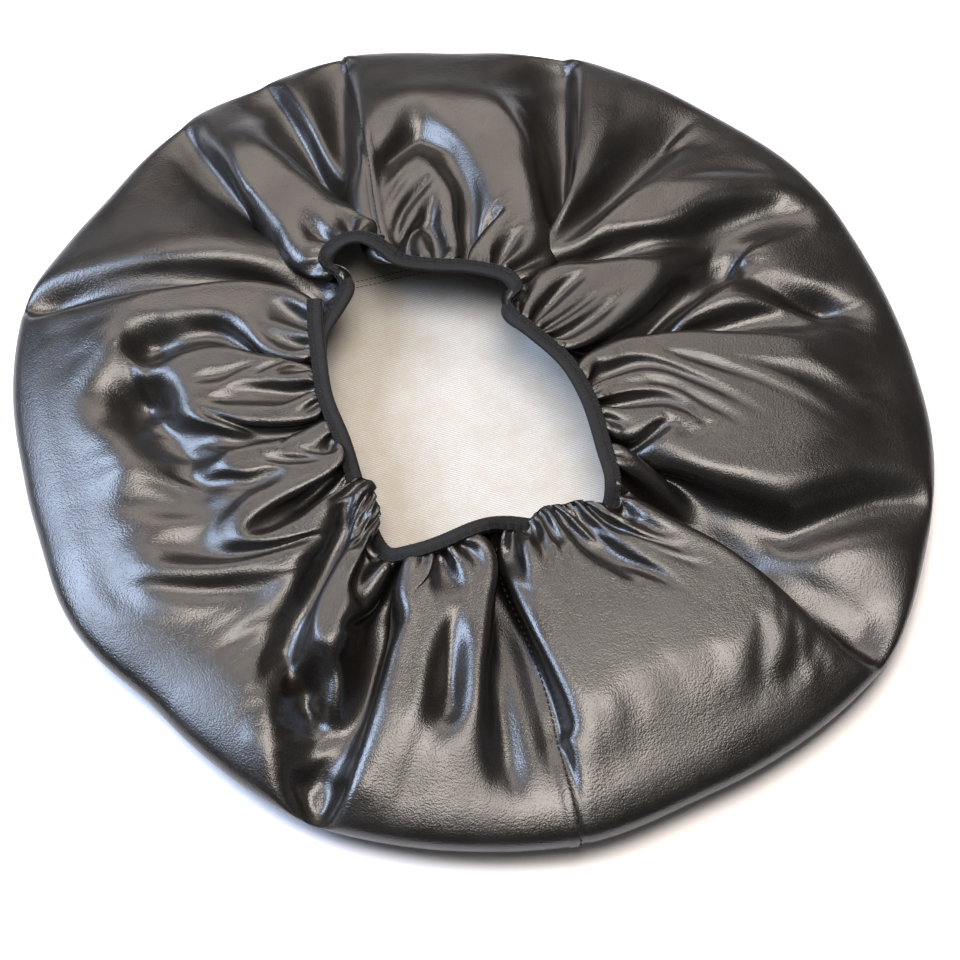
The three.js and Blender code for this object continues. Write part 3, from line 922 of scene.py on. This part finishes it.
# ---- Stitches ----
@dataclass
class StitchMaker:
    """Lays short stitches along a line with geometry nodes.

    Attributes:
        material: the thread's finish.
    """

    material: bpy.types.Material
    tree: bpy.types.NodeTree | None = None

    def build_tree(self) -> bpy.types.NodeTree:
        """The node tree: a line of edges in, realised stitches out."""
        tree = bpy.data.node_groups.new("stitches_along_line", "GeometryNodeTree")
        sides = tree.interface
        sides.new_socket("Line", in_out="INPUT", socket_type="NodeSocketGeometry")
        for name, value in (("Pitch", 5 * MM), ("Length", 3.8 * MM), ("Thread", 0.8 * MM)):
            sides.new_socket(name, in_out="INPUT", socket_type="NodeSocketFloat").default_value = value
        sides.new_socket("Stitches", in_out="OUTPUT", socket_type="NodeSocketGeometry")
        given = add_node(tree, "NodeGroupInput").outputs
        curve = add_node(tree, "GeometryNodeMeshToCurve", {0: given["Line"]}).outputs[0]
        spots = add_node(tree, "GeometryNodeCurveToPoints", {"Curve": curve, "Length": given["Pitch"]},
                         mode="LENGTH")
        ball = add_node(tree, "GeometryNodeMeshUVSphere",
                        {"Segments": 8, "Rings": 6, "Radius": 0.5}).outputs[0]
        turn = add_node(tree, "FunctionNodeAlignRotationToVector", {"Vector": spots.outputs["Tangent"]},
                        axis="X")
        size = add_node(tree, "ShaderNodeCombineXYZ",
                        {0: given["Length"], 1: given["Thread"], 2: given["Thread"]})
        placed = add_node(tree, "GeometryNodeInstanceOnPoints",
                          {"Points": spots.outputs["Points"], "Instance": ball, "Rotation": turn.outputs[0],
                           "Scale": size.outputs[0]})
        real = add_node(tree, "GeometryNodeRealizeInstances", {0: placed.outputs[0]})
        smooth = add_node(tree, "GeometryNodeSetShadeSmooth", {0: real.outputs[0]})
        done = add_node(tree, "GeometryNodeSetMaterial", {0: smooth.outputs[0], "Material": self.material})
        add_node(tree, "NodeGroupOutput", {0: done.outputs[0]})
        return tree

    def row(self, name: str, lines: list[Array], pitch: float, length: float,
            thread: float) -> bpy.types.Object:
        """One piece of stitches.

        Args:
            name: piece name.
            lines: one or more open lines of (n, 3) points.
            pitch: from stitch to stitch.
            length: of a stitch.
            thread: its thickness.

        Returns:
            The object, as a plain mesh.
        """
        self.tree = self.tree or self.build_tree()
        mesh = bpy.data.meshes.new(name + "_line")
        starts = np.cumsum([0] + [len(line) for line in lines])
        edges = [(s + i, s + i + 1) for s, line in zip(starts, lines) for i in range(len(line) - 1)]
        mesh.from_pydata(np.vstack(lines).tolist(), edges, [])
        piece = bpy.data.objects.new(name, mesh)
        bpy.context.scene.collection.objects.link(piece)
        modifier = piece.modifiers.new("stitches", "NODES")
        modifier.node_group = self.tree
        sockets = {s.name: s.identifier for s in self.tree.interface.items_tree if s.in_out == "INPUT"}
        for key, value in (("Pitch", pitch), ("Length", length), ("Thread", thread)):
            modifier[sockets[key]] = value
        bpy.context.view_layer.update()
        evaluated = piece.evaluated_get(bpy.context.evaluated_depsgraph_get())
        result = bpy.data.meshes.new_from_object(evaluated)
        piece.modifiers.remove(modifier)
        piece.data = result
        bpy.data.meshes.remove(mesh)
        if not result.materials:
            result.materials.append(self.material)
        return piece


# ---- Sub-assemblies ----
@dataclass
class SideBand:
    """The gathered side band: skin and backing of its two halves, its seams and their topstitching.

    Attributes:
        cloth: the strip that settles.
        finishes: every finish.
        stitches: lays the thread.
        skin: thickness of the coated layer.
        backing: thickness of the knit.
        gap: between the two layers.
        sector: degrees of the band in one piece.
        topstitch: thickness of the front seam's thread with its needle holes.
        fine_stitch: thickness of the rear seam's thread.
        bare_rows: rows beside the binding that have no knit.
        clearance: least depth of the knit under the skin's outer side.
        fewest_cells: a sector with fewer cells than this makes no piece.
        seam_ridge: height of the ridge over the turned-in allowance.
        seam_groove: depth of the groove at the seam.
    """

    cloth: BandCloth
    finishes: Finishes
    stitches: StitchMaker
    skin: float = 0.9 * MM
    backing: float = 0.6 * MM
    gap: float = 0.3 * MM
    sector: int = 30
    topstitch: float = 1.4 * MM
    fine_stitch: float = 0.8 * MM
    bare_rows: int = 8
    clearance: float = 0.55 * MM
    fewest_cells: int = 40
    seam_ridge: float = 0.9 * MM
    seam_groove: float = 1.3 * MM
    points: Array = field(init=False)
    normals: Array = field(init=False)

    def build(self) -> None:
        """Settles the cloth and makes every piece of the band."""
        self.points = self.cloth.shape()
        self._raise_seams()
        self.normals = grid_normals(self.points)
        depth = self._even(self.normals)
        everywhere = np.ones(self.points.shape[:2], bool)
        pieces = self._layer(Slot.SKIN, self.points, self.normals, depth * self.skin, 1, everywhere)
        hem = slice(0, len(self.points) - self.bare_rows)
        inside = (self.points - depth * (self.skin + self.gap))[hem]
        knit = (depth * self.backing)[hem]
        pieces += self._layer(Slot.BACKING, inside, self.normals[hem], knit, 2,
                              self._clear(inside, inside - knit))
        for half in Half:
            self._seam(half)
        log.info("side band: %d sheets", len(pieces))

    @staticmethod
    def _even(normals: Array) -> Array:
        """The outward directions averaged over their neighbours, which shortens them in a tight fold."""
        even = normals.copy()
        for _ in range(4):
            beside = np.roll(even, 1, 1) + np.roll(even, -1, 1)
            even[1:-1] = 0.4 * even[1:-1] + 0.15 * (even[:-2] + even[2:] + beside[1:-1])
        return even

    def _clear(self, *layers: Array) -> Array:
        """Where the knit lies clear under the skin's outer side; it is left out in folds too tight to hold it.

        Args:
            layers: (rows, columns, 3) places on either side of the knit.

        Returns:
            (rows, columns) truths.
        """
        rows, columns = self.points.shape[:2]
        i, j = np.arange(rows - 1)[:, None] * columns, np.arange(columns)[None, :]
        k = (j + 1) % columns
        quads = np.stack([i + j, i + k, i + k + columns, i + j + columns], axis=2).reshape(-1, 4)
        skin = BVHTree.FromPolygons(self.points.reshape(-1, 3).tolist(), quads.tolist())
        clear = np.ones(layers[0].shape[:2], bool)
        tight = np.zeros(clear[::2, ::2].shape, bool)
        for layer in layers:
            corner = layer[::2, ::2]
            beside = np.roll(corner, -1, 1)
            above, across = (np.vstack([part[1:], part[-1:]]) for part in (corner, beside))
            for spots in (corner, (corner + beside) / 2, (corner + above) / 2,
                          (corner + beside + above + across) / 4):
                for row, column in np.ndindex(tight.shape):
                    place = Vector(spots[row, column])
                    nearest, outwards, _, _ = skin.find_nearest(place)
                    tight[row, column] |= (nearest - place).dot(outwards) < self.clearance
        wider = tight | np.roll(tight, 1, 1) | np.roll(tight, -1, 1)
        taller = wider.copy()
        taller[1:] |= wider[:-1]
        taller[:-1] |= wider[1:]
        clear[::2, ::2] = ~taller
        return clear

    def seam_column(self, half: Half) -> int:
        """The column of the strip where a half starts."""
        foot = self.cloth.seam_curve(self.points.shape[1])
        angle = np.degrees(np.arctan2(foot[:, 1], foot[:, 0])) % 360
        return int(np.argmin(np.abs(angle - half.value)))

    def _raise_seams(self) -> None:
        """Gives each seam its groove and the ridge of its turned-over allowance."""
        normals = grid_normals(self.points)
        columns = self.points.shape[1]
        for half in Half:
            away = (np.arange(columns) - self.seam_column(half) + columns // 2) % columns - columns // 2
            ridge = self.seam_ridge * smoothstep(-4.6, -3.4, away) * smoothstep(0.6, -0.4, away)
            groove = -self.seam_groove * np.exp(-((away / 0.8) ** 2))
            self.points[2:-4] += normals[2:-4] * (ridge + groove)[None, :, None]

    def _layer(self, slot: Slot, outer: Array, normals: Array, depth: Array, every: int,
               kept: Array) -> list[bpy.types.Object]:
        """Makes one layer of the cloth, in a piece for each sector of each half.

        Args:
            slot: skin or backing.
            outer: the layer's outer side.
            normals: its outward directions.
            depth: from the layer's inner side to its outer side.
            every: keeps one row and column in this many.
            kept: where the layer is made.

        Returns:
            The pieces.
        """
        columns = outer.shape[1] // every
        reach = self.cloth.depth * (len(outer) - 1) / (len(self.points) - 1)
        outer, normals, depth, kept = (part[::every, ::every] for part in (outer, normals, depth, kept))
        rows = outer.shape[0]
        girth = self._girth()
        flat = np.stack(np.meshgrid(np.arange(columns + 1) * girth / columns,
                                    np.linspace(0, reach, rows)), axis=2)
        wrap = np.arange(columns + 1) % columns
        outer, normals, inner, kept = outer[:, wrap], normals[:, wrap], (outer - depth)[:, wrap], kept[:, wrap]
        whole = kept[:-1, :-1] & kept[1:, :-1] & kept[:-1, 1:] & kept[1:, 1:]
        i = np.arange(rows - 1)[:, None] * (columns + 1)
        j = np.arange(columns)[None, :]
        quads = np.stack([i + j, i + j + 1, i + j + columns + 2, i + j + columns + 1], axis=2)
        centre = 0.25 * (outer[:-1, :-1] + outer[1:, :-1] + outer[:-1, 1:] + outer[1:, 1:])
        angle = np.degrees(np.arctan2(centre[..., 1], centre[..., 0])) % 360
        sector = (angle // self.sector).astype(int)
        left, right = (self.seam_column(half) // every for half in Half)
        halves = np.where((j >= left) & (j < right), 0, 1) + 0 * i
        pieces = []
        for number, half in enumerate(Half):
            for index in range(360 // self.sector):
                chosen = quads[self._without_corner_contacts((halves == number) & (sector == index) & whole)]
                if len(chosen) < self.fewest_cells:
                    continue
                used, corners = np.unique(chosen, return_inverse=True)
                corners = corners.reshape(-1, 4)
                vertices = np.vstack([outer.reshape(-1, 3)[used], inner.reshape(-1, 3)[used]])
                directions = np.vstack([normals.reshape(-1, 3)[used], -normals.reshape(-1, 3)[used]])
                uv = np.vstack([flat.reshape(-1, 2)[used]] * 2)
                name = f"band_{half.name.lower()}_{slot.value}_{index + 1:02d}"
                material = self.finishes.skin if slot is Slot.SKIN else self.finishes.backing
                piece = new_piece(name, vertices, shell_faces(corners, len(used)), uv, material, directions)
                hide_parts(f"side_band_{half.name.lower()}_{slot.value}")
                self.follow_mouth(piece)
                pieces.append(piece)
        return pieces

    @staticmethod
    def _without_corner_contacts(cells: Array) -> Array:
        """The cells without those that meet another one at a corner only, so that every edge has two faces."""
        cells = cells.copy()
        for _ in range(4):
            a, b, c, d = cells[:-1, :-1], cells[:-1, 1:], cells[1:, :-1], cells[1:, 1:]
            touching = (a & d & ~b & ~c) | (b & c & ~a & ~d)
            for part in (a, b, c, d):
                part[touching] = False
        return cells

    def _girth(self) -> float:
        """The strip's length round the perimeter seam."""
        foot = self.cloth.seam_curve(720)
        return float(np.linalg.norm(foot - np.roll(foot, 1, 0), axis=1).sum())

    def follow_mouth(self, piece: bpy.types.Object) -> None:
        """Bakes a finished piece's placement into its mesh.

        Args:
            piece: a finished piece of the band.
        """
        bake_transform(piece)

    def _seam(self, half: Half) -> None:
        """The topstitching beside a seam and the seam's own stitches inside.

        Args:
            half: the half that starts at the seam.
        """
        side = {Half.RIGHT: "front", Half.LEFT: "rear"}[half]
        column = self.seam_column(half)
        rows = slice(2, -8)
        beside = 0.8 * self.points[rows, column - 1] + 0.2 * self.points[rows, column - 2]
        line = beside + self.normals[rows, column - 1] * 0.4 * MM
        outside = self.stitches.row(f"{side}_topstitching", [line], 5.2 * MM, 3.7 * MM,
                                    self.topstitch if side == "front" else self.fine_stitch)
        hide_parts(f"{side}_band_topstitch_thread")
        inner = self.points[rows, column] - self.normals[rows, column] * 2.1 * MM
        inside = self.stitches.row(f"{side}_seam_stitches", [inner], 4 * MM, 3.4 * MM, 0.9 * MM)
        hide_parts(f"{side}_band_seam_thread")
        for piece in (outside, inside):
            self.follow_mouth(piece)


@dataclass
class FrontPanel:
    """The front panel that lies on the floor: skin, knit backing, and the rows of stitching on it.

    Attributes:
        radius: mean radius of the perimeter seam.
        finishes: every finish.
        stitches: lays the thread.
        steps: corners round the panel.
        rings: rings of quads.
        skin: thickness of the coated layer.
    """

    radius: float
    finishes: Finishes
    stitches: StitchMaker
    steps: int = 288
    rings: int = 60
    skin: float = 0.9 * MM

    def build(self) -> None:
        """Makes the panel's two layers and its lining stitches."""
        lip = 5 * MM
        self._disc("front_panel_outer", self.radius + lip, 0.0, self.skin, self.finishes.skin,
                   "front_panel_skin", lip)
        self._disc("front_panel_lining", self.radius - 8 * MM, self.skin + 0.3 * MM, 0.6 * MM,
                   self.finishes.backing, "front_panel_backing", 0.0)
        rows = []
        for shift in (0.0, 6.0):
            x = np.linspace(-170, 60, 90)
            y = 156.5 + 0.27 * x + shift
            z = self.lining_height(x * MM, y * MM) + 0.3 * MM
            rows.append(np.stack([x * MM, y * MM, z], axis=1))
        piece = self.stitches.row("lining_stitches", rows, 3.6 * MM, 2.6 * MM, 0.6 * MM)
        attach(piece, Body.COVER.value)
        log.info("front panel built")

    def lining_height(self, x: Array, y: Array) -> Array:
        """Height of the lining's upper side, which lies in slow waves."""
        wave = np.sin(x * 61 + y * 23 + 1.0) + 0.7 * np.sin(y * 74 - x * 37) + 0.5 * np.sin(x * 120 + 2.0)
        inside = smoothstep(250 * MM, 170 * MM, np.hypot(x, y))
        return self.skin + 0.9 * MM + 0.5 * MM * (wave + 2.2) * inside

    def _disc(self, name: str, radius: float, low: float, thickness: float, material: bpy.types.Material,
              node: str, lip: float) -> None:
        """One layer of the panel as a closed thin body.

        Args:
            name: piece name.
            radius: its mean radius.
            low: height of its lower side at the edge.
            thickness: of the layer.
            material: its finish.
            node: the CAD node it stands for.
            lip: how far its rolled edge stands out past the seam; none where it is 0.
        """
        angle = np.linspace(0, 360, self.steps, endpoint=False)
        edge = outline_radius(angle, radius)
        share = np.concatenate([np.linspace(0.004, 0.97, self.rings), [0.985, 0.994, 1.0]])
        reach = share[:, None] * edge[None, :]
        x, y = reach * np.cos(np.radians(angle)), reach * np.sin(np.radians(angle))
        if lip:
            shown = np.exp(-(((angle - 228) / 22) ** 2)) + 0.7 * np.exp(-((((angle + 178) % 360 - 180) / 26) ** 2))
            pull = 1 - (1 - shown) * (lip - 0.6 * MM) / edge * smoothstep(0.9, 1.0, share)[:, None]
            x, y = x * pull, y * pull
            rise = smoothstep(0.975, 1.0, share)[:, None] * shown * 2.6 * MM
            top = np.full_like(x, low + thickness) + rise
        else:
            top = self.lining_height(x, y)
        outer = np.stack([x, y, top], axis=2)
        inner = outer.copy()
        inner[..., 2] -= thickness
        rows, columns = len(share), self.steps
        i = np.arange(rows - 1)[:, None] * columns
        j = np.arange(columns)[None, :]
        k = (j + 1) % columns
        quads = np.stack([i + j, i + columns + j, i + columns + k, i + k], axis=2).reshape(-1, 4)
        flat = outer.reshape(-1, 3)
        faces = shell_faces(quads, len(flat)).tolist()
        faces = [f for f in faces if not all(v % len(flat) < columns for v in f)]
        centre = len(flat) * 2
        faces += [[centre, a, (a + 1) % columns] for a in range(columns)]
        faces += [[centre + 1, len(flat) + (a + 1) % columns, len(flat) + a] for a in range(columns)]
        middle = np.array([[0, 0, outer[0, :, 2].mean()], [0, 0, inner[0, :, 2].mean()]])
        vertices = np.vstack([flat, inner.reshape(-1, 3), middle])
        mesh_faces = np.array([f + [-1] * (4 - len(f)) for f in faces])
        piece = self._mesh(name, vertices, mesh_faces, material)
        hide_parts(node)
        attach(piece, Body.COVER.value)

    @staticmethod
    def _mesh(name: str, vertices: Array, faces: Array, material: bpy.types.Material) -> bpy.types.Object:
        """A piece whose faces have three or four corners; a missing corner is -1."""
        mesh = bpy.data.meshes.new(name)
        mesh.from_pydata(vertices.tolist(), [], [[v for v in face if v >= 0] for face in faces.tolist()])
        mesh.shade_smooth()
        layer = mesh.uv_layers.new(name="cloth")
        corners = np.empty(len(mesh.loops), np.int32)
        mesh.loops.foreach_get("vertex_index", corners)
        layer.data.foreach_set("uv", vertices[corners, :2].astype(np.float32).reshape(-1))
        mesh.materials.append(material)
        piece = bpy.data.objects.new(name, mesh)
        bpy.context.scene.collection.objects.link(piece)
        return piece


@dataclass
class MouthBinding:
    """The binding: one folded tape with its ends lapped, the elastic inside it, and the stitching.

    Attributes:
        height: middle of the binding above the floor.
        finishes: every finish.
        stitches: lays the thread.
        steps: cross-sections along the tape.
    """

    height: float
    finishes: Finishes
    stitches: StitchMaker
    steps: int = 760

    # Outer side of the folded tape from its upper edge round the fold to its lower edge: outwards and up, in mm.
    FOLD: Points = field(default=(
        (6.0, 1.35), (4.6, 1.5), (3.0, 1.25), (1.4, 1.5), (-0.6, 1.85), (-2.6, 2.05), (-4.3, 1.9),
        (-5.6, 1.25),
        (-6.1, 0.0), (-5.6, -1.2), (-4.2, -1.7), (-2.0, -1.7), (1.0, -1.45), (4.0, -1.35), (6.0, -1.3)),
        repr=False)

    def path(self) -> Array:
        """(steps, 4) places along the tape and its roll in degrees, from its upper end to the one below it."""
        points = np.array(LAP_FIRST + MOUTH + LAP_LAST, float)
        points[:, :3] *= MM
        points[:, 2] += self.height
        return smooth_curve(points, self.steps, False)

    def frames(self) -> tuple[Array, Array, Array]:
        """Middle, outward direction and upward direction of each cross-section."""
        line = self.path()
        middle, roll = line[:, :3], np.radians(line[:, 3])
        along = np.gradient(middle, axis=0)
        along /= np.linalg.norm(along, axis=1)[:, None]
        flat = np.stack([along[:, 1], -along[:, 0], np.zeros(len(along))], axis=1)
        flat /= np.linalg.norm(flat, axis=1)[:, None]
        upright = np.cross(flat, along)
        outwards = flat * np.cos(roll)[:, None] + upright * np.sin(roll)[:, None]
        return middle, outwards, np.cross(outwards, along)

    def build(self) -> None:
        """Makes the tape, the elastic and the rows of stitches."""
        middle, outwards, upwards = self.frames()
        fold = np.array(self.FOLD) * MM
        wall = 0.5 * MM
        shift = np.gradient(fold, axis=0)
        shift = np.stack([-shift[:, 1], shift[:, 0]], axis=1)
        shift /= np.linalg.norm(shift, axis=1)[:, None]
        profile = np.vstack([fold, (fold + shift * wall)[::-1]])[::-1]
        length = np.concatenate([[0], np.cumsum(np.linalg.norm(np.diff(middle, axis=0), axis=1))])
        ripple = np.sin(length / (6.4 * MM) * 2 * math.pi + 1.5 * np.sin(length / (41 * MM)))
        rim = self._sweep("mouth_binding", profile, middle, outwards, upwards, length, 0.28 * MM * ripple,
                          self.finishes.tape)
        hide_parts("mouth_binding_tape")
        band = np.array([(-4.6, -0.55), (1.4, -0.55), (1.4, 0.55), (-4.6, 0.55)])[::-1] * MM
        inside = slice(16, -16)
        strip = self._sweep("mouth_elastic_braid", band, middle[inside], outwards[inside], upwards[inside],
                            length[inside], 0 * ripple[inside], self.finishes.elastic)
        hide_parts("mouth_elastic")
        rows = []
        for place, rise in ((2.9, 1.25), (5.3, 1.45)):
            spot = middle + outwards * place * MM + upwards * (rise * MM + 0.25 * ripple[:, None] * MM)
            rows.append(spot[6:-30])
        thread = self.stitches.row("binding_stitches", rows, 2.9 * MM, 2.3 * MM, 0.75 * MM)
        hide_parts("binding_stitch_thread")
        start = [middle[k] + upwards[k] * 1.75 * MM for k in (3, 8)]
        across = [np.array([spot - outwards[3] * 4.5 * MM, spot + outwards[3] * 5 * MM]) for spot in start]
        lap = self.stitches.row("binding_lap_stitches", across, 2.4 * MM, 2.0 * MM, 0.7 * MM)
        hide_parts("binding_lap_thread")
        spot = middle[400]
        zigzag = np.array([spot + outwards[400] * (1.9 + 0.5 * (k % 2)) * MM + (middle[401] - spot) * (k - 5)
                           for k in range(11)])
        join = self.stitches.row("elastic_join_stitches", [zigzag], 1.6 * MM, 1.6 * MM, 0.6 * MM)
        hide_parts("elastic_join_thread")
        for piece in (rim, strip, thread, lap, join):
            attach(piece, Body.RIM.value)
        log.info("binding built")

    @staticmethod
    def _sweep(name: str, profile: Array, middle: Array, outwards: Array, upwards: Array, length: Array,
               ripple: Array, material: bpy.types.Material) -> bpy.types.Object:
        """Sweeps a closed profile along the binding and caps both ends.

        Args:
            name: piece name.
            profile: (n, 2) corners, outwards and up.
            middle: places of the cross-sections.
            outwards: their outward directions.
            upwards: their upward directions.
            length: their places along the tape.
            ripple: how far the outer edge is raised at each.
            material: its finish.

        Returns:
            The piece.
        """
        count, size = len(middle), len(profile)
        lifted = ripple[:, None] * smoothstep(-1 * MM, 4 * MM, profile[:, 0])[None, :]
        vertices = (middle[:, None] + outwards[:, None] * profile[None, :, :1]
                    + upwards[:, None] * (profile[None, :, 1] + lifted)[..., None]).reshape(-1, 3)
        i = np.arange(count - 1)[:, None] * size
        j = np.arange(size)[None, :]
        k = (j + 1) % size
        quads = np.stack([i + j, i + k, i + size + k, i + size + j], axis=2).reshape(-1, 4)
        across = np.clip(profile[:, 0] + 6.1 * MM, 0, 1)
        uv = np.stack([np.repeat(length, size), np.tile(across, count)], axis=1)
        half = size // 2
        caps = []
        for first in (0, (count - 1) * size):
            strip = [[first + a, first + a + 1, first + size - 2 - a, first + size - 1 - a] for a in range(half - 1)]
            caps += strip if first else [face[::-1] for face in strip]
        faces = np.vstack([quads, np.array(caps)])
        return new_piece(name, vertices, faces, uv, material)


@dataclass
class PerimeterThreads:
    """The two rows of stitching that join the band's turned-in edge to the front panel, inside the cover."""

    cloth: BandCloth
    stitches: StitchMaker

    def build(self) -> None:
        """Makes both rows as separate stitches."""
        for name, inset, node in (("perimeter_stitches", 6 * MM, "perimeter_seam_thread"),
                                  ("perimeter_stitches_second_row", 12 * MM,
                                   "perimeter_second_row_thread")):
            angle = np.linspace(0, 360, 721)
            radius = outline_radius(angle, self.cloth.panel_radius - inset)
            line = np.stack([radius * np.cos(np.radians(angle)), radius * np.sin(np.radians(angle)),
                             np.full_like(radius, self.cloth.foot + 1.4 * MM)], axis=1)
            piece = self.stitches.row(name, [line], 5 * MM, 3.9 * MM, 0.9 * MM)
            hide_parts(node)
            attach(piece, Body.COVER.value)
        log.info("perimeter stitching built")


# ---- Studio ----
@dataclass
class Studio:
    """A pale paper floor, soft light and the camera."""

    lens: float = 74.85
    camera_place: tuple[float, float, float] = (0.0045, -0.8429, 1.2721)
    camera_tilt: float = 32.0

    def camera(self) -> None:
        """Places the camera: 58 degrees above the floor, in front of the cover."""
        data = bpy.data.cameras.new("studio_camera")
        data.lens = self.lens
        data.sensor_width = 36
        camera = bpy.data.objects.new("studio_camera", data)
        camera.location = self.camera_place
        camera.rotation_euler = (math.radians(self.camera_tilt), 0, 0)
        bpy.context.scene.collection.objects.link(camera)
        bpy.context.scene.camera = camera

    @staticmethod
    def softbox(name: str, place: tuple[float, float, float], size: tuple[float, float], power: float,
                colour: str) -> None:
        """A rectangular area light that faces the cover.

        Args:
            name: object name.
            place: its middle.
            size: width and height.
            power: in watts.
            colour: sRGB hex colour.
        """
        light = bpy.data.lights.new(name, "AREA")
        light.shape = "RECTANGLE"
        light.size, light.size_y = size
        light.energy = power
        light.color = linear(colour)[:3]
        box = bpy.data.objects.new(name, light)
        box.location = place
        box.rotation_euler = (-box.location).to_track_quat("-Z", "Y").to_euler()
        bpy.context.scene.collection.objects.link(box)

    def build(self) -> None:
        """Makes the floor and the lights."""
        mesh = bpy.data.meshes.new("studio_floor")
        side = 4.0
        mesh.from_pydata([(-side, -side, -0.2 * MM), (side, -side, -0.2 * MM), (side, side, -0.2 * MM),
                          (-side, side, -0.2 * MM)], [], [(0, 1, 2, 3)])
        mesh.materials.append(PaperSweep().build())
        floor = bpy.data.objects.new("studio_floor", mesh)
        bpy.context.scene.collection.objects.link(floor)
        self.softbox("overhead_softbox", (0.1, -0.1, 2.0), (1.5, 1.0), 58, "fff4ea")
        self.softbox("far_softbox", (-0.25, 1.7, 1.75), (2.0, 1.1), 30, "fff0e6")
        self.softbox("window_left", (-1.55, 0.2, 1.45), (1.2, 1.0), 68, "cfe1ff")
        world = bpy.data.worlds.new("studio_air")
        world.use_nodes = True
        world.node_tree.nodes["Background"].inputs[0].default_value = linear("ffffff")
        world.node_tree.nodes["Background"].inputs[1].default_value = 0.12
        bpy.context.scene.world = world
        bpy.context.scene.view_settings.view_transform = "Standard"


def main() -> None:
    """Builds the studio and every sub-assembly of the cover."""
    logging.basicConfig(level=logging.INFO, format="%(name)s: %(message)s")
    studio = Studio()
    studio.camera()
    studio.build()
    rim_low, rim_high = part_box("mouth_elastic")
    panel_low, panel_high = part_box("front_panel_skin")
    band_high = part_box("side_band_left_skin")[1]
    panel_radius = 0.25 * (panel_high.x - panel_low.x + panel_high.y - panel_low.y) - 1.4 * MM
    finishes = Finishes()
    stitches = StitchMaker(finishes.thread)
    cloth = BandCloth(
        cover_radius=panel_radius + 12 * MM,
        panel_radius=panel_radius,
        foot=panel_high.z,
        top=band_high.z,
        mouth=0.5 * (rim_low.z + rim_high.z),
    )
    FrontPanel(panel_radius, finishes, stitches).build()
    SideBand(cloth, finishes, stitches).build()
    MouthBinding(cloth.mouth, finishes, stitches).build()
    PerimeterThreads(cloth, stitches).build()


if __name__ == "__main__":
    main()
